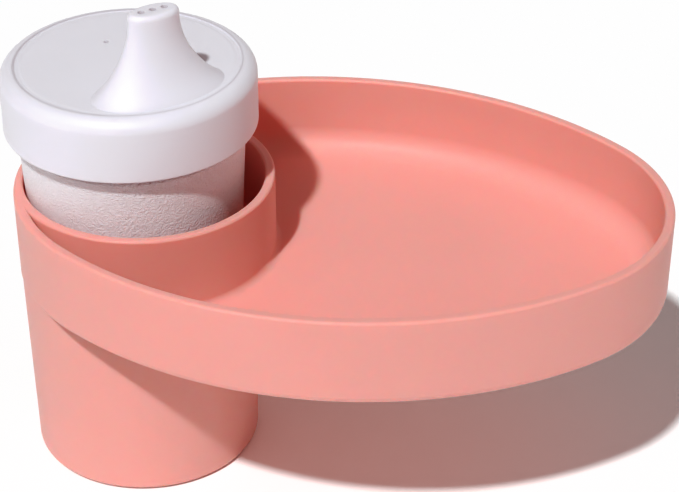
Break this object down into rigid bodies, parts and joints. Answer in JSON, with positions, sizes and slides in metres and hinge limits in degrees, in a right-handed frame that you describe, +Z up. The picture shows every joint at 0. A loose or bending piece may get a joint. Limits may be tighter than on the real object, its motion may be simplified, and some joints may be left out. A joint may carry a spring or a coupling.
{
  "type": "travel snack tray with spouted cup",
  "caption": "Egg-shaped snack tray with a cup well and a tapered sleeve that plugs into a cup holder, holding a screw-lidded spouted training cup.",
  "frame": {"origin": "centre of the flat base of the sleeve", "axes": "+Z up along the sleeve, +X from the cup well towards the far end of the tray, +Y across the tray"},
  "size_m": [0.1985, 0.141, 0.1555],
  "materials": {
    "tray_plastic": "satin moulded polypropylene, coral pink",
    "cup_plastic": "slightly frosted white polypropylene",
    "lid_plastic": "smooth white polypropylene",
    "gasket_silicone": "soft translucent silicone",
    "valve_silicone": "soft translucent silicone"
  },
  "bodies": {
    "tray": {"travel_tray": "tray_plastic"},
    "cup": {"cup_body": "cup_plastic"},
    "gasket": {"lid_gasket": "gasket_silicone"},
    "lid": {"lid": "lid_plastic"},
    "valve": {"spout_valve": "valve_silicone"}
  },
  "joints": [
    {"name": "cup_lift", "type": "slide", "parent": "tray", "child": "cup", "axis": [0, 0, 1], "range_m": [0, 0.11]},
    {"name": "lid_rise", "type": "slide", "parent": "cup", "child": "gasket", "axis": [0, 0, 1], "range_m": [0, 0.0181]},
    {"name": "lid_turn", "type": "hinge", "parent": "gasket", "child": "lid", "pos_m": [0, 0, 0.12], "axis": [0, 0, 1], "range_deg": [0, 540]},
    {"name": "valve_pull", "type": "slide", "parent": "lid", "child": "valve", "axis": [0, 0, -1], "range_m": [0, 0.012]}
  ],
  "couplings": [
    {"joint": "lid_rise", "follows": "lid_turn", "m_per_rad": 0.0019099}
  ]
}
